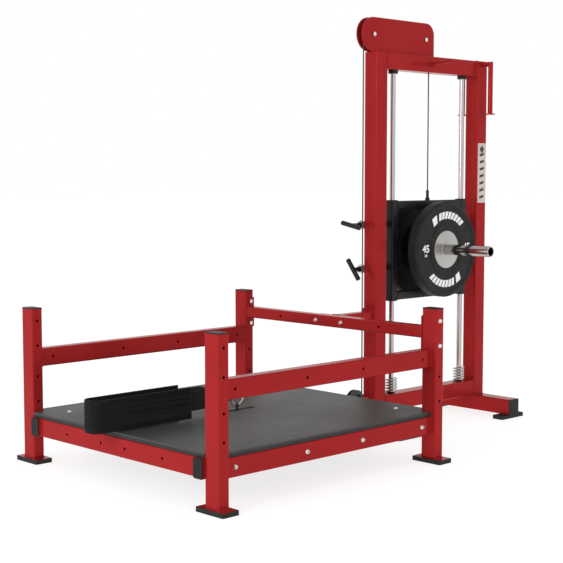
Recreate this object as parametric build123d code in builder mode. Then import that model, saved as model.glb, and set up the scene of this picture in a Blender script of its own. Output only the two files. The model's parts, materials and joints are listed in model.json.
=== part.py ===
"""Belt hip thrust machine: a railed platform, a weight tower and the cable between them.

Frame: +X runs from the belt's end of the platform to the weight tower, +Y is the left side,
+Z is up. The origin is on the floor, under the centre of the machine's box.
"""

from build123d import *

import os
from math import cos, radians, sin

os.makedirs("parts", exist_ok=True)

# ---------------------------------------------------------------- driving dimensions, mm
belt_reach = 140.0          # belt's front end, in front of the front posts' centre
platform_length = 1187.0    # front posts' centre to rear posts' centre
tower_front_offset = 1475.0  # front posts' centre to the front tower post's centre
tower_rear_offset = 2217.0  # front posts' centre to the rear tower post's centre
tower_pad_half = 87.0       # half the length of a rear rubber foot
post_spacing_y = 1159.0     # left posts' centre to right posts' centre
post_height = 644.0         # floor to the top of a post's cap
tower_height = 1745.0       # floor to the top of the tower posts

tube_wall = 3.0
tube_radius = 6.0
post_x, post_y = 50.0, 75.0
rail_width, rail_height = 50.0, 75.0
tower_tube = 75.0
small_tube = 50.0

foot_x, foot_y = 75.0, 145.0
plate_thickness = 6.0
pad_thickness = 12.0
foot_height = plate_thickness + pad_thickness
cap_thickness = 4.0
cap_overhang = 1.0
cap_plug = 12.0

hand_rail_z = 436.5         # centre height of the hand rails
platform_z = 155.5          # centre height of the platform's beams
deck_board_thickness = 14.0
deck_mat_thickness = 6.0
post_hole_heights = [257.0, 360.0, 488.0, 591.0]
rail_hole_offsets = [76.5, 440.0, 748.0, 1108.0]
cross_hole_offsets = [-302.0, -76.0, 76.0, 302.0]
hole_radius = 6.0
bolt_radius = 5.5

end_rail_z = 541.0
end_flange_height = 140.0
link_bolt_y = 77.0

pulley_pitch = 48.0         # radius at the cable's centre line
pulley_outer = 54.0
pulley_half_width = 10.0
cable_radius = 3.0
head_pulley_z = 1821.5
head_plate_radius = 76.5
base_pulley_z = 158.0
cheek_inner = 12.0          # half the gap between a pulley's two cheek plates
belt_cable_offset = 617.0   # front posts' centre to the cable that rises to the belt
axle_radius = 6.0
bearing_radius = 16.0
running_clearance = 0.05

guide_half_spacing = 255.0
guide_rod_radius = 12.5
carriage_bottom, carriage_top = 603.0, 1073.0
carriage_tube = 40.0
bush_flange = 4.0
horn_z = 838.0
horn_radius = 25.0
horn_half_length = 377.0
plate_inner_y, plate_outer_y = 66.0, 124.0
plate_radius = 225.0
plate_hub_radius = 90.0

tee_y = 54.0                # centre of the T-handle rods, beside the front tower post
# height, tilt of the grip in degrees, distance from the front tower post's centre to the grip
tee_settings = {"upper": (960.0, 11.0, 107.0), "lower": (757.0, 53.0, 90.0)}
tee_grip_radius = 11.0
tee_grip_half = 56.0
tee_rod_radius = 9.5
tee_travel = 30.0

belt_half_width = 47.0
belt_bottom, belt_top = 218.8, 346.2
belt_thickness = 10.0
belt_corner = 38.0          # radius round the belt's front corners
ring_z = 271.0
ring_radius = 37.0
ring_wire = 4.0

# ---------------------------------------------------------------- derived places
front_x = (belt_reach - tower_rear_offset - tower_pad_half) / 2   # centre of the front posts
rear_x = front_x + platform_length
tower_front_x = front_x + tower_front_offset
tower_rear_x = front_x + tower_rear_offset
tower_mid_x = (tower_front_x + tower_rear_x) / 2
side_y = post_spacing_y / 2
inner_y = side_y - post_y / 2           # the posts' inner faces
outer_y = inner_y + rail_width          # the rails' and side beams' outer faces
platform_bottom = platform_z - rail_height / 2
platform_top = platform_z + rail_height / 2
deck_top = platform_top + deck_board_thickness + deck_mat_thickness
half_tower = tower_tube / 2
tower_face_front = tower_front_x - half_tower
base_beam_z = foot_height + tower_tube + half_tower
base_beam_top = base_beam_z + half_tower
top_beam_z = tower_height - half_tower
top_beam_bottom = tower_height - tower_tube
cheek_outer = cheek_inner + plate_thickness
carriage_cable_x = tower_mid_x
head_rear_x = carriage_cable_x - pulley_pitch
head_front_x = head_rear_x - 362.0
down_cable_x = head_front_x - pulley_pitch
base_rear_x = down_cable_x - pulley_pitch
belt_cable_x = front_x + belt_cable_offset
base_front_x = belt_cable_x + pulley_pitch
fitting_top = carriage_top + 44.0
rod_xs = [tower_mid_x - guide_half_spacing, tower_mid_x + guide_half_spacing]

posts = {
    "post_front_left": (front_x, side_y),
    "post_front_right": (front_x, -side_y),
    "post_rear_left": (rear_x, side_y),
    "post_rear_right": (rear_x, -side_y),
}
pulleys = {
    "pulley_head_front": (head_front_x, head_pulley_z),
    "pulley_head_rear": (head_rear_x, head_pulley_z),
    "pulley_base_rear": (base_rear_x, base_pulley_z),
    "pulley_base_front": (base_front_x, base_pulley_z),
}


def xz_plane(y):
    """Upright plane facing -Y at the given Y: local x is X, local y is Z."""
    return Plane.XZ.offset(-y)


def yz_plane(x):
    """Upright plane facing +X at the given X: local x is Y, local y is Z."""
    return Plane.YZ.offset(x)


def tube_section(width, height, wall=tube_wall, radius=tube_radius):
    """Rounded hollow section, drawn into the open sketch."""
    RectangleRounded(width, height, radius)
    RectangleRounded(width - 2 * wall, height - 2 * wall, radius - wall, mode=Mode.SUBTRACT)


def save(piece, name):
    """Label a finished sub-part and write its STEP file."""
    piece.label = name
    export_step(piece, f"parts/{name}.step")


# ---------------------------------------------------------------- platform posts and feet
for name, (x, y) in posts.items():
    with BuildPart() as post:
        with BuildSketch(Plane.XY.offset(foot_height)):
            with Locations((x, y)):
                tube_section(post_x, post_y)
        extrude(amount=post_height - cap_thickness - foot_height)
        with BuildSketch(xz_plane(y)):
            with Locations(*[(x, z) for z in post_hole_heights]):
                Circle(hole_radius)
        extrude(amount=post_y, both=True, mode=Mode.SUBTRACT)
    save(post.part, name)

with BuildPart() as foot_plates:
    with BuildSketch(Plane.XY.offset(pad_thickness)):
        with Locations(*posts.values()):
            RectangleRounded(foot_x, foot_y, 5)
    extrude(amount=plate_thickness)
save(foot_plates.part, "foot_plates")

cross_feet = [(tower_front_x, 230.0), (tower_rear_x, 250.0)]   # place and half length of each
tower_pad_width = 62.0
shoe_wall = 2.0             # rubber round the edges of a foot plate
with BuildPart() as foot_pads:
    with BuildSketch():
        with Locations(*posts.values()):
            RectangleRounded(foot_x + 2 * shoe_wall, foot_y + 2 * shoe_wall, 6)
    extrude(amount=foot_height)
    chamfer(foot_pads.faces().group_by(Axis.Z)[-1].edges(), 1)
    with BuildSketch(Plane.XY.offset(pad_thickness)):
        with Locations(*posts.values()):
            RectangleRounded(foot_x, foot_y, 5)
    extrude(amount=plate_thickness, mode=Mode.SUBTRACT)
    with BuildSketch():
        for x, half_length in cross_feet:
            pad_y = half_length - tower_pad_width / 2
            with Locations((x, pad_y), (x, -pad_y)):
                RectangleRounded(2 * tower_pad_half, tower_pad_width, 8)
    extrude(amount=foot_height)
    chamfer(foot_pads.faces().filter_by(Axis.Z).group_by(Axis.Z)[-1].sort_by(SortBy.AREA)[-4:].edges(), 2)
save(foot_pads.part, "foot_pads")

# ---------------------------------------------------------------- hand rails and side beams
for side, sign in (("left", 1), ("right", -1)):
    rail_y = sign * (inner_y + rail_width / 2)
    with BuildPart() as hand_rail:
        with BuildSketch(yz_plane(front_x + post_x / 2)):
            with Locations((rail_y, hand_rail_z)):
                tube_section(rail_width, rail_height)
        extrude(amount=platform_length - post_x)
        with BuildSketch(xz_plane(rail_y)):
            with Locations(*[(front_x + x, hand_rail_z) for x in rail_hole_offsets]):
                Circle(hole_radius)
        extrude(amount=rail_width, both=True, mode=Mode.SUBTRACT)
    save(hand_rail.part, f"hand_rail_{side}")

    with BuildPart() as side_beam:
        with BuildSketch(yz_plane(front_x + post_x / 2)):
            with Locations((rail_y, platform_z)):
                tube_section(rail_width, rail_height)
        extrude(amount=platform_length - post_x)
        with BuildSketch(xz_plane(rail_y)):
            with Locations(*[(front_x + x, platform_z) for x in rail_hole_offsets]):
                Circle(bolt_radius)
        extrude(amount=rail_width, both=True, mode=Mode.SUBTRACT)
    save(side_beam.part, f"side_beam_{side}")

# ---------------------------------------------------------------- platform frame
inner_beam_y = inner_y - rail_width / 2
beam_overrun = 8.0
inner_beam_start = front_x - post_x / 2 - beam_overrun
inner_beam_length = platform_length + post_x + 2 * beam_overrun

with BuildPart() as inner_beams:
    with BuildSketch(yz_plane(inner_beam_start)):
        with Locations((inner_beam_y, platform_z), (-inner_beam_y, platform_z)):
            tube_section(rail_width, rail_height)
    extrude(amount=inner_beam_length)
    with BuildSketch(Plane.XZ):
        with Locations(*[(front_x + x, platform_z) for x in rail_hole_offsets]):
            Circle(bolt_radius)
    extrude(amount=side_y, both=True, mode=Mode.SUBTRACT)
save(inner_beams.part, "inner_beams")

cross_half_length = inner_y - rail_width
cross_centres = [front_x + 600.0, rear_x]
with BuildPart() as cross_beams:
    with BuildSketch(xz_plane(cross_half_length)):
        with Locations((front_x, platform_z)):
            tube_section(small_tube, rail_height)
    extrude(amount=2 * cross_half_length)
    with BuildSketch(yz_plane(front_x)):
        with Locations(*[(y, platform_z) for y in cross_hole_offsets]):
            Circle(hole_radius)
    extrude(amount=small_tube, both=True, mode=Mode.SUBTRACT)
    for start in (cross_half_length, -cheek_outer):
        with BuildSketch(xz_plane(start)):
            with Locations(*[(x, platform_z) for x in cross_centres]):
                tube_section(small_tube, rail_height)
        extrude(amount=cross_half_length - cheek_outer)
save(cross_beams.part, "cross_beams")

spine_bottom, spine_top = 100.0, 176.0
spine_start = front_x + small_tube / 2
spine_end = tower_face_front - plate_thickness
spine_mid_z = (spine_bottom + spine_top) / 2
with BuildPart() as spine_plates:
    for y in (-cheek_inner, cheek_outer):
        with BuildSketch(xz_plane(y)):
            with Locations(((spine_start + spine_end) / 2, spine_mid_z)):
                Rectangle(spine_end - spine_start, spine_top - spine_bottom)
            with Locations((base_front_x, base_pulley_z), (base_rear_x, base_pulley_z)):
                Circle(axle_radius + running_clearance, mode=Mode.SUBTRACT)
        extrude(amount=plate_thickness)
    with BuildSketch(yz_plane(spine_end)):
        with Locations((0, spine_mid_z)):
            RectangleRounded(tower_tube, spine_top - spine_bottom, 4)
    extrude(amount=plate_thickness)
save(spine_plates.part, "spine_plates")

# ---------------------------------------------------------------- deck
slot_length = 204.0
slot_width = 26.0
screw_spots = [(front_x + x, y) for x in (85.0, 1113.0) for y in (-445.0, 445.0)]
screw_hole = 4.0
deck_gap = 1.0


def deck_outline():
    """Deck between the posts, with wings over the side beams, a cable slot and screw holes."""
    with Locations(((front_x + rear_x) / 2, 0)):
        Rectangle(platform_length + post_x, 2 * (inner_y - deck_gap))
        Rectangle(platform_length - post_x - 2 * deck_gap, 2 * outer_y)
    with Locations((belt_cable_x, 0)):
        SlotOverall(slot_length, slot_width, mode=Mode.SUBTRACT)
    with Locations(*screw_spots):
        Circle(screw_hole, mode=Mode.SUBTRACT)


with BuildPart() as deck_board:
    with BuildSketch(Plane.XY.offset(platform_top)):
        deck_outline()
    extrude(amount=deck_board_thickness)
    chamfer(deck_board.faces().sort_by(Axis.Z)[0].outer_wire().edges(), 2.5)
save(deck_board.part, "deck_board")

with BuildPart() as deck_mat:
    with BuildSketch(Plane.XY.offset(platform_top + deck_board_thickness)):
        deck_outline()
    extrude(amount=deck_mat_thickness)
    chamfer(deck_mat.faces().sort_by(Axis.Z)[-1].outer_wire().edges(), 1.5)
save(deck_mat.part, "deck_mat")

# ---------------------------------------------------------------- end rail and tower link
end_flange_y = inner_y - plate_thickness
with BuildPart() as end_rail:
    with BuildSketch(xz_plane(end_flange_y)):
        with Locations((rear_x, end_rail_z)):
            tube_section(small_tube, small_tube)
    extrude(amount=2 * end_flange_y)
    with BuildSketch(yz_plane(rear_x)):
        with Locations(*[(y, end_rail_z) for y in (-301.0, -link_bolt_y, link_bolt_y, 301.0)]):
            Circle(hole_radius)
    extrude(amount=small_tube, both=True, mode=Mode.SUBTRACT)
save(end_rail.part, "end_rail")

link_start = rear_x + small_tube / 2
link_flange_width = 2 * link_bolt_y + 40.0
with BuildPart() as link_beam:
    with BuildSketch(yz_plane(link_start + plate_thickness)):
        with Locations((0, end_rail_z)):
            tube_section(small_tube, small_tube)
    extrude(amount=tower_face_front - link_start - 2 * plate_thickness)
    with BuildSketch(Plane.XY.offset(end_rail_z)):
        with Locations((down_cable_x, 0)):
            Circle(9)
    extrude(amount=small_tube, both=True, mode=Mode.SUBTRACT)
save(link_beam.part, "link_beam")

with BuildPart() as rail_flanges:
    for y in (inner_y, -end_flange_y):
        with BuildSketch(xz_plane(y)):
            with Locations((rear_x, end_rail_z - 1.5)):
                RectangleRounded(post_x, end_flange_height, 4)
            with Locations(*[(rear_x, z) for z in post_hole_heights[2:]]):
                Circle(hole_radius, mode=Mode.SUBTRACT)
        extrude(amount=plate_thickness)
    with BuildSketch(yz_plane(link_start)):
        with Locations((0, end_rail_z)):
            RectangleRounded(link_flange_width, small_tube, 4)
        with Locations((-link_bolt_y, end_rail_z), (link_bolt_y, end_rail_z)):
            Circle(hole_radius, mode=Mode.SUBTRACT)
    extrude(amount=plate_thickness)
    with BuildSketch(yz_plane(tower_face_front - plate_thickness)):
        with Locations((0, end_rail_z)):
            RectangleRounded(tower_tube, tower_tube, 4)
    extrude(amount=plate_thickness)
save(rail_flanges.part, "rail_flanges")

# ---------------------------------------------------------------- tower
post_bottom = foot_height + tower_tube
hollow = tower_tube - 2 * tube_wall
for name, x in (("tower_post_front", tower_front_x), ("tower_post_rear", tower_rear_x)):
    with BuildPart() as tower_post:
        with BuildSketch(Plane.XY.offset(post_bottom)):
            with Locations((x, 0)):
                RectangleRounded(tower_tube, tower_tube, tube_radius)
        extrude(amount=tower_height - post_bottom)
        with BuildSketch(Plane.XY.offset(post_bottom)):
            with Locations((x, 0)):
                RectangleRounded(hollow, hollow, tube_radius - tube_wall)
        extrude(amount=tower_height - post_bottom - tube_wall, mode=Mode.SUBTRACT)
    save(tower_post.part, name)

beam_start = tower_front_x + half_tower
beam_length = tower_rear_x - tower_front_x - tower_tube
with BuildPart() as tower_top_beam:
    with BuildSketch(yz_plane(beam_start)):
        with Locations((0, top_beam_z)):
            tube_section(tower_tube, tower_tube)
    extrude(amount=beam_length)
    with BuildSketch(Plane.XY.offset(top_beam_z)):
        with Locations((carriage_cable_x, 0)):
            Circle(12)
    extrude(amount=tower_tube, both=True, mode=Mode.SUBTRACT)
save(tower_top_beam.part, "tower_top_beam")

with BuildPart() as tower_base_beam:
    with BuildSketch(yz_plane(beam_start)):
        with Locations((0, base_beam_z)):
            tube_section(tower_tube, tower_tube)
    extrude(amount=beam_length)
save(tower_base_beam.part, "tower_base_beam")

with BuildPart() as tower_cross_feet:
    for x, half_length in cross_feet:
        with BuildSketch(xz_plane(half_length)):
            with Locations((x, foot_height + half_tower)):
                tube_section(tower_tube, tower_tube)
        extrude(amount=2 * half_length)
save(tower_cross_feet.part, "tower_cross_feet")


# ---------------------------------------------------------------- plastic caps in tube ends
def tube_cap(width, height):
    """Flat of a tube cap, drawn into the open sketch."""
    RectangleRounded(width + 2 * cap_overhang, height + 2 * cap_overhang, tube_radius)


def tube_plug(width, height):
    """Plug behind a tube cap, inside the tube's walls."""
    inset = 2 * tube_wall + 0.6
    RectangleRounded(width - inset, height - inset, tube_radius - tube_wall)


with BuildPart() as tube_caps:
    with BuildSketch(Plane.XY.offset(post_height - cap_thickness)):
        with Locations(*posts.values()):
            tube_cap(post_x, post_y)
    extrude(amount=cap_thickness)
    chamfer(tube_caps.faces().group_by(Axis.Z)[-1].edges(), 1.2)
    with BuildSketch(Plane.XY.offset(post_height - cap_thickness)):
        with Locations(*posts.values()):
            tube_plug(post_x, post_y)
    extrude(amount=-cap_plug)
    for x, outward in ((inner_beam_start, -1), (inner_beam_start + inner_beam_length, 1)):
        with BuildSketch(yz_plane(x)):
            with Locations((inner_beam_y, platform_z), (-inner_beam_y, platform_z)):
                RectangleRounded(rail_width, rail_height, tube_radius)
        extrude(amount=outward * cap_thickness)
        with BuildSketch(yz_plane(x)):
            with Locations((inner_beam_y, platform_z), (-inner_beam_y, platform_z)):
                tube_plug(rail_width, rail_height)
        extrude(amount=-outward * cap_plug)
    for x, half_length in cross_feet:
        for side in (-1, 1):
            with BuildSketch(xz_plane(side * half_length)):
                with Locations((x, foot_height + half_tower)):
                    RectangleRounded(tower_tube, tower_tube, tube_radius)
            extrude(amount=-side * cap_thickness)
            with BuildSketch(xz_plane(side * half_length)):
                with Locations((x, foot_height + half_tower)):
                    tube_plug(tower_tube, tower_tube)
            extrude(amount=side * cap_plug)
save(tube_caps.part, "tube_caps")

# ---------------------------------------------------------------- head plates and pulleys
head_end_x = head_rear_x + 63.5
for side, start in (("left", cheek_outer), ("right", -cheek_inner)):
    with BuildPart() as head_plate:
        with BuildSketch(xz_plane(start)):
            with Locations((head_front_x, head_pulley_z)):
                Circle(head_plate_radius)
            with Locations(((head_front_x + head_end_x) / 2, head_pulley_z)):
                Rectangle(head_end_x - head_front_x, 2 * head_plate_radius)
            with Locations((head_front_x, head_pulley_z), (head_rear_x, head_pulley_z)):
                Circle(axle_radius + running_clearance, mode=Mode.SUBTRACT)
        extrude(amount=plate_thickness)
        fillet(head_plate.edges().filter_by(Axis.Y).sort_by(lambda e: e.center().X + e.center().Z)[-1], 55)
    save(head_plate.part, f"head_plate_{side}")

groove_floor = pulley_pitch - cable_radius - 0.3
for name, (x, z) in pulleys.items():
    with BuildPart() as pulley:
        with BuildSketch(Plane((x, 0, z))):
            with BuildLine():
                rim, web, half = 36.0, 4.0, pulley_half_width
                Polyline(
                    (bearing_radius + running_clearance, 0),
                    (bearing_radius + running_clearance, half),
                    (24, half), (24, web), (rim, web), (rim, half),
                    (pulley_outer, half), (pulley_outer, 6.5), (groove_floor, 3.6),
                    (groove_floor, 0), close=True)
            make_face()
            mirror(about=Plane.XZ)
        revolve(axis=Axis((x, 0, z), (0, 1, 0)))
        with BuildSketch(xz_plane(0)):
            with Locations((x, z)):
                with PolarLocations(30, 6):
                    Circle(4)
        extrude(amount=half, both=True, mode=Mode.SUBTRACT)
    save(pulley.part, name)

with BuildPart() as pulley_bearings:
    for x, z in pulleys.values():
        with BuildSketch(Plane((x, 0, z))):
            with BuildLine():
                Polyline(
                    (axle_radius + running_clearance, -cheek_inner), (9, -cheek_inner), (9, -7),
                    (bearing_radius, -7), (bearing_radius, 7), (9, 7), (9, cheek_inner),
                    (axle_radius + running_clearance, cheek_inner), close=True)
            make_face()
        revolve(axis=Axis((x, 0, z), (0, 1, 0)))
save(pulley_bearings.part, "pulley_bearings")

with BuildPart() as pulley_axles:
    for x, z in pulleys.values():
        with BuildSketch(xz_plane(cheek_outer)):
            with Locations((x, z)):
                Circle(axle_radius)
        extrude(amount=2 * cheek_outer)
        for y in (-cheek_outer, cheek_outer + 8):
            with BuildSketch(xz_plane(y)):
                with Locations((x, z)):
                    RegularPolygon(10.5, 6)
            extrude(amount=8)
save(pulley_axles.part, "pulley_axles")

# ---------------------------------------------------------------- cable
with BuildPart() as cable_main_run:
    with BuildLine(Plane.XZ) as route:
        over_rear = JernArc((carriage_cable_x, head_pulley_z), (0, 1), pulley_pitch, 90)
        top_run = Line(over_rear @ 1, (head_front_x, head_pulley_z + pulley_pitch))
        over_front = JernArc(top_run @ 1, (-1, 0), pulley_pitch, 90)
        down_run = Line(over_front @ 1, (down_cable_x, base_pulley_z))
        under_rear = JernArc(down_run @ 1, (0, -1), pulley_pitch, -90)
        floor_run = Line(under_rear @ 1, (base_front_x, base_pulley_z - pulley_pitch))
        under_front = JernArc(floor_run @ 1, (-1, 0), pulley_pitch, -90)
    with BuildSketch(Plane.XY.offset(head_pulley_z)):
        with Locations((carriage_cable_x, 0)):
            Circle(cable_radius)
    sweep(path=route.line)
save(cable_main_run.part, "cable_main_run")

with BuildPart() as cable_carriage_run:
    with BuildSketch(Plane.XY.offset(fitting_top)):
        with Locations((carriage_cable_x, 0)):
            Circle(cable_radius)
    extrude(amount=head_pulley_z - fitting_top)
save(cable_carriage_run.part, "cable_carriage_run")

belt_fitting_bottom = deck_top + 2.0
with BuildPart() as cable_belt_run:
    with BuildSketch(Plane.XY.offset(base_pulley_z)):
        with Locations((belt_cable_x, 0)):
            Circle(cable_radius)
    extrude(amount=belt_fitting_bottom - base_pulley_z)
save(cable_belt_run.part, "cable_belt_run")

# ---------------------------------------------------------------- guide rods and springs
with BuildPart() as guide_rods:
    with BuildSketch(Plane.XY.offset(base_beam_top)):
        with Locations(*[(x, 0) for x in rod_xs]):
            Circle(guide_rod_radius)
    extrude(amount=top_beam_bottom - base_beam_top)
save(guide_rods.part, "guide_rods")

with BuildPart() as rod_collars:
    for z, radius, height in ((base_beam_top, 17.5, 6.0), (top_beam_bottom - 16.0, 23.0, 16.0)):
        with BuildSketch(Plane.XY.offset(z)):
            with Locations(*[(x, 0) for x in rod_xs]):
                Circle(radius)
                Circle(guide_rod_radius, mode=Mode.SUBTRACT)
        extrude(amount=height)
save(rod_collars.part, "rod_collars")

spring_height = 74.0
spring_wire = 3.5
spring_mean = 26.5
spring_turns = 5
with BuildPart() as bumper_springs:
    for x in rod_xs:
        coil_height = spring_height - 2 * spring_wire
        coil_base = base_beam_top + spring_wire
        with BuildLine():
            coil = Helix(coil_height / spring_turns, coil_height, spring_mean, center=(x, 0, coil_base))
        with BuildSketch(Plane(coil @ 0, z_dir=coil % 0)):
            Circle(spring_wire)
        sweep(path=coil, is_frenet=True)
save(bumper_springs.part, "bumper_springs")

# ---------------------------------------------------------------- weight carriage
side_tube_bottom = carriage_bottom + bush_flange
side_tube_height = carriage_top - carriage_bottom - 2 * bush_flange
with BuildPart() as carriage_sides:
    with BuildSketch(Plane.XY.offset(side_tube_bottom)):
        with Locations(*[(x, 0) for x in rod_xs]):
            tube_section(carriage_tube, carriage_tube, radius=5)
    extrude(amount=side_tube_height)
save(carriage_sides.part, "carriage_sides")

bar_start = rod_xs[0] + carriage_tube / 2
bar_length = 2 * guide_half_spacing - carriage_tube
bar_heights = [side_tube_bottom + carriage_tube / 2, carriage_top - bush_flange - carriage_tube / 2]
with BuildPart() as carriage_bars:
    with BuildSketch(yz_plane(bar_start)):
        with Locations(*[(0, z) for z in bar_heights]):
            tube_section(carriage_tube, carriage_tube, radius=5)
    extrude(amount=bar_length)
    with BuildSketch(Plane.XY.offset(bar_heights[1])):
        with Locations((carriage_cable_x, 0)):
            Circle(6)
    extrude(amount=carriage_tube, mode=Mode.SUBTRACT)
save(carriage_bars.part, "carriage_bars")

centre_post_width = 80.0
with BuildPart() as carriage_centre_post:
    with BuildSketch(Plane.XY.offset(bar_heights[0] + carriage_tube / 2)):
        with Locations((tower_mid_x, 0)):
            tube_section(centre_post_width, carriage_tube, wall=5, radius=7)
    extrude(amount=bar_heights[1] - bar_heights[0] - carriage_tube)
    with BuildSketch(xz_plane(0)):
        with Locations((tower_mid_x, horn_z)):
            Circle(horn_radius)
    extrude(amount=carriage_tube, both=True, mode=Mode.SUBTRACT)
save(carriage_centre_post.part, "carriage_centre_post")

bush_length = 40.0
bush_width = carriage_tube - 2 * tube_wall
with BuildPart() as guide_bushes:
    for z, inward in ((side_tube_bottom, 1), (side_tube_bottom + side_tube_height, -1)):
        with BuildSketch(Plane.XY.offset(z)):
            with Locations(*[(x, 0) for x in rod_xs]):
                RectangleRounded(carriage_tube, carriage_tube, 5)
        extrude(amount=-inward * bush_flange)
        with BuildSketch(Plane.XY.offset(z)):
            with Locations(*[(x, 0) for x in rod_xs]):
                RectangleRounded(bush_width - 0.4, bush_width - 0.4, 2)
        extrude(amount=inward * bush_length)
    with BuildSketch(Plane.XY.offset(carriage_bottom)):
        with Locations(*[(x, 0) for x in rod_xs]):
            Circle(guide_rod_radius + running_clearance)
    extrude(amount=carriage_top - carriage_bottom, mode=Mode.SUBTRACT)
save(guide_bushes.part, "guide_bushes")

horn_wall = 5.0
groove_width = 3.0
with BuildPart() as weight_horn:
    with BuildSketch(xz_plane(horn_half_length)):
        with Locations((tower_mid_x, horn_z)):
            Circle(horn_radius)
            Circle(horn_radius - horn_wall, mode=Mode.SUBTRACT)
    extrude(amount=2 * horn_half_length)
    chamfer(weight_horn.edges().filter_by(GeomType.CIRCLE).group_by(SortBy.RADIUS)[-1], 1)
    for y in (plate_outer_y, groove_width - plate_outer_y):
        with BuildSketch(xz_plane(y)):
            with Locations((tower_mid_x, horn_z)):
                Circle(horn_radius + 1)
                Circle(horn_radius - 1, mode=Mode.SUBTRACT)
        extrude(amount=groove_width, mode=Mode.SUBTRACT)
save(weight_horn.part, "weight_horn")

horn_axis = Axis((tower_mid_x, 0, horn_z), (0, 1, 0))
horn_plane = Plane((tower_mid_x, 0, horn_z))
stop_radius = 102.0
with BuildPart() as horn_collars:
    with BuildSketch(horn_plane):
        with BuildLine():
            Polyline(
                (horn_radius, carriage_tube / 2), (34, carriage_tube / 2), (34, plate_inner_y - 8),
                (stop_radius, plate_inner_y - 8), (stop_radius, plate_inner_y),
                (horn_radius, plate_inner_y), close=True)
        make_face()
        mirror(about=Plane.XZ)
    revolve(axis=horn_axis)
save(horn_collars.part, "horn_collars")

with BuildPart() as carriage_cable_fitting:
    with BuildSketch(Plane.XY.offset(carriage_top - bush_flange)):
        with Locations((carriage_cable_x, 0)):
            Circle(11)
    extrude(amount=12)
    with BuildSketch(Plane.XY.offset(carriage_top - bush_flange + 12)):
        with Locations((carriage_cable_x, 0)):
            Circle(7)
    extrude(amount=fitting_top - carriage_top + bush_flange - 12)
    chamfer(carriage_cable_fitting.edges().sort_by(Axis.Z)[-1], 2)
    with BuildSketch(Plane.XY.offset(carriage_top - bush_flange)):
        with Locations((carriage_cable_x, 0)):
            Circle(5.8)
    extrude(amount=-tube_wall - 8)
save(carriage_cable_fitting.part, "carriage_cable_fitting")

# ---------------------------------------------------------------- bumper plates
plate_mid_y = (plate_inner_y + plate_outer_y) / 2
plate_half = (plate_outer_y - plate_inner_y) / 2
for side, sign in (("left", 1), ("right", -1)):
    disc_plane = Plane((tower_mid_x, sign * plate_mid_y, horn_z))
    disc_axis = Axis(disc_plane.origin, (0, 1, 0))
    with BuildPart() as bumper_plate:
        with BuildSketch(disc_plane):
            with BuildLine():
                Polyline(
                    (plate_hub_radius, 0), (plate_hub_radius, plate_half - 3),
                    (110, plate_half - 3), (113, plate_half - 1), (120, plate_half - 1),
                    (123, plate_half - 4), (198, plate_half - 4), (204, plate_half),
                    (plate_radius - 8, plate_half), (plate_radius, plate_half - 8),
                    (plate_radius, 0), close=True)
            make_face()
            mirror(about=Plane.XZ)
        revolve(axis=disc_axis)
    save(bumper_plate.part, f"bumper_plate_{side}")

    with BuildPart() as plate_hub:
        with BuildSketch(disc_plane):
            with BuildLine():
                Polyline(
                    (horn_radius + 0.1, 0), (horn_radius + 0.1, plate_half - 1), (33, plate_half - 1),
                    (35, plate_half - 3), (plate_hub_radius - 2, plate_half - 3),
                    (plate_hub_radius, plate_half - 5), (plate_hub_radius, 0), close=True)
            make_face()
            mirror(about=Plane.XZ)
        revolve(axis=disc_axis)
    save(plate_hub.part, f"plate_hub_{side}")

# ---------------------------------------------------------------- T-handle rods
tee_rod_end = rod_xs[0] + 109.0
tee_collar_radius = 13.0
sleeve_width = 33.0
washer_thickness = 5.0
washer_radius = 22.0
collar_gap = 0.5
# outer face and radius of each collar: before the tower post, behind it, at the rod's end
tee_collars = [
    (tower_face_front - washer_thickness - collar_gap, tee_collar_radius),
    (tower_front_x + half_tower + tee_travel + 11.0, tee_collar_radius),
    (tee_rod_end, 10.5),
]
for name, (z, tilt, offset) in tee_settings.items():
    grip_x = tower_front_x - offset
    grip_direction = (0, cos(radians(tilt)), sin(radians(tilt)))
    with BuildPart() as tee_handle:
        with BuildSketch(Plane((grip_x, tee_y, z), x_dir=(1, 0, 0), z_dir=grip_direction)):
            Circle(tee_grip_radius)
        extrude(amount=tee_grip_half, both=True)
        fillet(tee_handle.faces().filter_by(Plane((0, 0, 0), z_dir=grip_direction)).edges(), 3)
        with BuildSketch(yz_plane(grip_x)):
            with Locations((tee_y, z)):
                Circle(tee_rod_radius)
        extrude(amount=tee_rod_end - grip_x)
        for x, radius in tee_collars:
            with BuildSketch(yz_plane(x)):
                with Locations((tee_y, z)):
                    Circle(radius)
            extrude(amount=-10)
    save(tee_handle.part, f"tee_handle_{name}")

with BuildPart() as tee_sleeves:
    with BuildSketch(yz_plane(tower_face_front)):
        with Locations(*[(tee_y, z) for z, tilt, offset in tee_settings.values()]):
            RectangleRounded(sleeve_width, sleeve_width, 4)
            Circle(tee_rod_radius + running_clearance, mode=Mode.SUBTRACT)
    extrude(amount=tower_tube)
save(tee_sleeves.part, "tee_sleeves")

# ---------------------------------------------------------------- storage hooks and peg
hook_radius = 12.0
hook_y = 85.0
hook_top = tower_height - 4.0
hook_bottom = 1489.0
with BuildPart() as storage_hooks:
    for side in (-1, 1):
        with BuildLine():
            Polyline((tower_rear_x, side * half_tower, hook_top - hook_radius),
                     (tower_rear_x, side * hook_y, hook_top - hook_radius),
                     (tower_rear_x, side * hook_y, hook_bottom))
        with BuildSketch(xz_plane(side * half_tower)):
            with Locations((tower_rear_x, hook_top - hook_radius)):
                Circle(hook_radius)
        sweep(transition=Transition.RIGHT)
        with BuildSketch(Plane.XY.offset(hook_bottom)):
            with Locations((tower_rear_x, side * hook_y)):
                Circle(2 * hook_radius)
        extrude(amount=-plate_thickness)
save(storage_hooks.part, "storage_hooks")

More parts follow.
